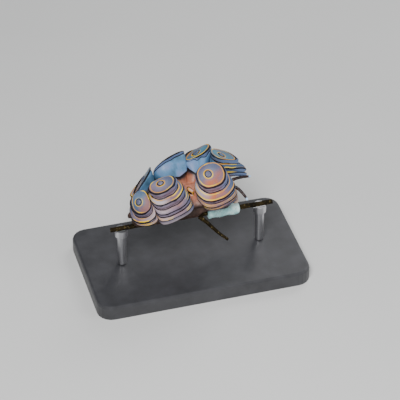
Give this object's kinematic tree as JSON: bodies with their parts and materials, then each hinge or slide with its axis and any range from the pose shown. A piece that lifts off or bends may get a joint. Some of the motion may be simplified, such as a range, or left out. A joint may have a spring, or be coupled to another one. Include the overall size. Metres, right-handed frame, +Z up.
{
  "type": "doto greenamyeri sea slug model on a stand",
  "caption": "Still life-size model of a donut sea slug with stacks of ringed discs along its back, on a cut length of hydroid stem held by a plain display stand.",
  "frame": {"origin": "middle of the stand base's underside", "axes": "+X the way the animal's head points, +Y its left side, +Z up"},
  "size_m": [0.044, 0.026, 0.0252],
  "materials": {
    "body_skin": "satin",
    "ceras_skin": "satin",
    "rhinophore_skin": "satin",
    "eye_dark": "gloss",
    "hydroid_stem": "matte",
    "pale_crust": "matte",
    "stand_plate": "satin",
    "stand_steel": "satin"
  },
  "bodies": {
    "root": {"head": "body_skin", "body_front": "body_skin", "body_middle": "body_skin", "body_rear": "body_skin", "tail": "body_skin", "foot_front": "body_skin", "foot_rear": "body_skin", "anal_papilla": "body_skin", "rhinophore_sheath_left": "body_skin", "rhinophore_sheath_right": "body_skin", "ceras_right_1": "ceras_skin", "ceras_right_2": "ceras_skin", "ceras_right_3": "ceras_skin", "ceras_left_1": "ceras_skin", "ceras_left_2": "ceras_skin", "ceras_left_3": "ceras_skin", "ceras_left_4": "ceras_skin", "rhinophore_left": "rhinophore_skin", "rhinophore_right": "rhinophore_skin", "perch_stem": "hydroid_stem", "perch_side_branch": "hydroid_stem", "perch_crust": "pale_crust", "stand_base": "stand_plate", "stand_rod_front": "stand_steel", "stand_rod_rear": "stand_steel"}
  },
  "joints": []
}
